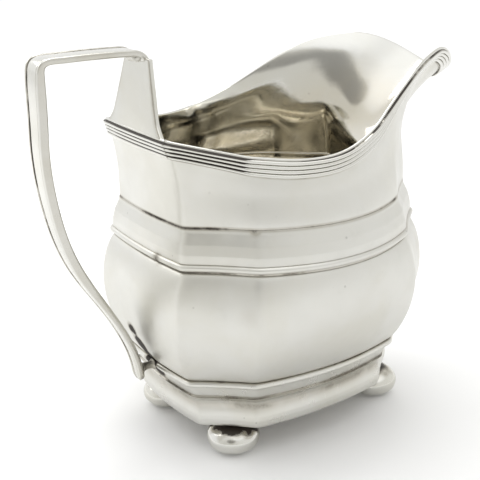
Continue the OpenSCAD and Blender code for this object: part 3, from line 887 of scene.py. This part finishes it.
def build_gusset():
    """Lump of solder in the angle under the arm, with an uneven surface."""
    top = ARM_Z - STRAP_THICK / 2
    face = RISER_OUTER + (top - RISER_Z) * math.sin(RISER_LEAN)
    rows = []
    for v in np.linspace(-1, 1, 40):
        half = math.sqrt(max(1 - v * v, 0)) ** 0.6 + 0.02
        ring = []
        for a in np.linspace(0, 2 * math.pi, 28, endpoint=False):
            down, back = math.sin(a), math.cos(a)
            lump = 1 + 0.35 * noise.noise(Vector((v * 2.4, down * 1.3, back * 1.3)))
            x = face - GUSSET_BACK + back * GUSSET_HALF[0] * half * lump
            z = top - GUSSET_DROP + down * GUSSET_HALF[1] * half * lump
            ring.append((x, v * GUSSET_HALF[2], z))
        rows.append(ring)
    grid = np.array(rows)
    marks = {"grime_and_shade": np.full(grid.shape[:2], 0.3), "inside": np.zeros(grid.shape[:2])}
    finish_piece(skin("solder_gusset", grid, False, marks), ["handle_gusset"], SOLDER)


# The stay's length, how far it is sunk in the bead, its radius and how much its ends spread
LUG_LENGTH = 3.6
LUG_SUNK = 0.35
LUG_R, LUG_SPREAD = 1.05, 0.55


def build_lug():
    """Short stay from the foot band to the strap, its ends flowing out into solder."""
    z = BELLY_Z - BEAD_HIGH / 2 - LUG_SUNK
    start = -(HALF_LENGTH + BELLY[1] + END_BOW + BEAD_OUT - LUG_SUNK)
    rows = []
    for t in np.linspace(0, 1, 24):
        radius = LUG_R + LUG_SPREAD * (2 * abs(t - 0.5)) ** 3
        ring = [(start - LUG_LENGTH * t, radius * math.cos(a) * 1.1, z + radius * math.sin(a))
                for a in np.linspace(0, 2 * math.pi, 32, endpoint=False)]
        rows.append(ring)
    grid = np.array(rows)
    marks = {"grime_and_shade": np.full(grid.shape[:2], 0.55), "inside": np.zeros(grid.shape[:2])}
    finish_piece(skin("handle_stay", grid, False, marks), ["handle_lug"], SOLDER)


# ---- Feet ------------------------------------------------------------------

# Where the feet stand, two in front under the lip and two behind under the handle, and how
# black their tops are painted as shade under the skirt
FOOT_PLACES = [(30.1, 15.9, 1.5), (30.4, -15.4, 0.9), (-25.7, 16.9, 1.5), (-24.3, -17.7, 8)]
# A ball's radius, its height and the radius of its worn flat
FOOT_R = 7.7
FOOT_H = 9.4
FOOT_FLAT = 2.6
# How far a ball is out of round
FOOT_LUMP = 0.035
# The collar's radius and how far it is sunk in the ball
COLLAR_R = 2.4
COLLAR_SUNK = 0.5


def build_foot(number, x0, y0, black):
    """A soldered ball, out of round and worn under, and the short collar that it hangs from."""
    # The ball starts at its worn flat, at the angle low, and is squashed to its height
    low = -math.pi / 2 + math.asin(FOOT_FLAT / FOOT_R)
    squash = FOOT_H / (FOOT_R * (1 + math.sin(-low)))
    profile = [(FOOT_FLAT * t, 0) for t in np.linspace(0.05, 0.93, 8)]
    for a in np.linspace(low, math.pi / 2 - 0.02, 44):
        profile.append((FOOT_R * math.cos(a), squash * FOOT_R * (math.sin(a) - math.sin(low))))
    turns = np.linspace(0, 2 * math.pi, 72, endpoint=False)
    rows = []
    for radius, height in profile:
        ring = []
        for a in turns:
            way = Vector((math.cos(a), math.sin(a), height / 5))
            lump = 1 + FOOT_LUMP * noise.noise(way * 1.3 + Vector((number * 7.3, 0, 0)))
            ring.append((x0 + radius * lump * math.cos(a), y0 + radius * lump * math.sin(a), height))
        rows.append(ring)
    grid = np.array(rows)
    # Its top is painted black with a ragged edge, as shade and dark reflection under the skirt
    from_top = FOOT_H - grid[..., 2]
    ragged = np.array([[noise.noise(Vector(p) / 2.4) for p in ring] for ring in rows])
    grime_and_shade = np.exp(-(from_top / (1.5 + 0.9 * ragged)) ** 2) * black
    marks = {"grime_and_shade": grime_and_shade, "inside": np.zeros(grid.shape[:2])}
    foot = skin(f"ball_foot_{number}_worn", grid, False, marks)
    finish_piece(foot, [f"ball_foot_{number}"], FOOT)

    base, top = FOOT_H - COLLAR_SUNK, SKIRT_Z
    rows = []
    for t in np.linspace(0, 1, 12):
        radius = COLLAR_R * (1 + 0.12 * (2 * t - 1) ** 2 - 0.1)
        rows.append([(x0 + radius * math.cos(a), y0 + radius * math.sin(a), between(base, top, t))
                     for a in np.linspace(0, 2 * math.pi, 48, endpoint=False)])
    grid = np.array(rows)
    # The collar is painted black all over, as the shade in the gap under the skirt
    marks = {"grime_and_shade": np.full(grid.shape[:2], 3.4), "inside": np.zeros(grid.shape[:2])}
    collar = skin(f"foot_collar_{number}_soldered", grid, False, marks)
    finish_piece(collar, [f"foot_collar_{number}"], SOLDER)


# ---- Studio ----------------------------------------------------------------


def build_camera():
    """A camera that looks down on the jug from its right and a little from behind."""
    place = Vector((-0.15912, -0.2285, 0.15522))
    heading, dip, roll = math.radians(54.48), math.radians(20.30), math.radians(-0.41)
    ahead = Vector((math.cos(heading) * math.cos(dip), math.sin(heading) * math.cos(dip), -math.sin(dip)))
    right = ahead.cross(Vector((0, 0, 1))).normalized()
    up = right.cross(ahead)
    right, up = right * math.cos(roll) + up * math.sin(roll), up * math.cos(roll) - right * math.sin(roll)
    camera = bpy.data.objects.new("camera", bpy.data.cameras.new("camera"))
    camera.data.lens = 74.82
    camera.data.sensor_width = 36
    camera.data.shift_x = -0.0685
    camera.data.shift_y = 0.0102
    camera.data.clip_start = 0.01
    camera.matrix_world = Matrix.Translation(place) @ Matrix((right, up, -ahead)).transposed().to_4x4()
    bpy.context.scene.collection.objects.link(camera)
    bpy.context.scene.camera = camera


def build_floor():
    """A wide pale floor, a little lit of its own."""
    reach = 4.0
    corners = [(-reach, -reach, 0), (reach, -reach, 0), (reach, reach, 0), (-reach, reach, 0)]
    mesh = bpy.data.meshes.new("studio_floor")
    mesh.from_pydata(corners, [], [(0, 1, 2, 3)])
    floor = bpy.data.objects.new("studio_floor", mesh)
    bpy.context.scene.collection.objects.link(floor)
    material = bpy.data.materials.new("pale_paper")
    material.use_nodes = True
    shader = material.node_tree.nodes["Principled BSDF"]
    shader.inputs["Base Color"].default_value = (0.9, 0.9, 0.9, 1)
    shader.inputs["Roughness"].default_value = 0.9
    shader.inputs["Specular IOR Level"].default_value = 0.1
    shader.inputs["Emission Color"].default_value = (1, 1, 1, 1)
    shader.inputs["Emission Strength"].default_value = 0.03
    mesh.materials.append(material)


def softbox(name, place, aim, size, power):
    """A rectangular light, aimed at a point."""
    light = bpy.data.lights.new(name, "AREA")
    light.shape = "RECTANGLE"
    light.size, light.size_y = size
    light.energy = power
    obj = bpy.data.objects.new(name, light)
    obj.location = place
    obj.rotation_euler = (Vector(aim) - Vector(place)).to_track_quat("-Z", "Y").to_euler()
    bpy.context.scene.collection.objects.link(obj)


# A white tent: its even level, then brighter and darker places, each with its heading and
# height, the angles where it starts and where it is full, and how much it adds
FIELD = 0.95
GLOWS = [
    (112, 0, 75, 0, 0.20),
    (-20, 0, 45, 0, 0.06),
    (-142, 12, 50, 0, -0.16),
    (-90, 75, 40, 0, 0.5),
    (-131, 37, 20, 12, -0.42),
]


def build_light():
    """The white tent as the world, and two softboxes."""
    world = bpy.data.worlds.new("studio")
    bpy.context.scene.world = world
    world.use_nodes = True
    t = Tree(world.node_tree)
    where = t.add("ShaderNodeTexCoord").outputs["Generated"]
    level = FIELD
    for glow in GLOWS:
        heading, rise, start, full = (math.radians(angle) for angle in glow[:4])
        flat = math.cos(rise)
        aim = Vector((math.cos(heading) * flat, math.sin(heading) * flat, math.sin(rise)))
        facing = t.add("ShaderNodeVectorMath", {0: where, 1: aim}, operation="DOT_PRODUCT")
        glowing = t.ramp(facing.outputs["Value"], math.cos(start), math.cos(full), 0, glow[4])
        level = t.sum_of("ADD", level, glowing)
    tint = t.blend(t.ramp(level, 0.8, 1.15), (1.0, 0.99, 0.945), (0.99, 0.995, 1.0))
    background = t.add("ShaderNodeBackground", {"Color": tint, "Strength": level})
    out = t.add("ShaderNodeOutputWorld")
    t.tree.links.new(background.outputs[0], out.inputs[0])
    softbox("softbox_top", (0.1, 0.25, 1.0), (0, 0, 0.05), (0.5, 0.5), 2.5)
    softbox("softbox_back", (-0.25, 0.32, 0.35), (-0.22, 0.26, 0), (0.3, 0.3), 0.5)
    bpy.context.scene.view_settings.view_transform = "Standard"


build_camera()
build_floor()
build_light()
build_lower_body()
build_floor_plate()
build_neck()
build_strap()
build_riser()
build_gusset()
build_lug()
for foot_number, (foot_x, foot_y, foot_black) in enumerate(FOOT_PLACES, 1):
    build_foot(foot_number, foot_x, foot_y, foot_black)
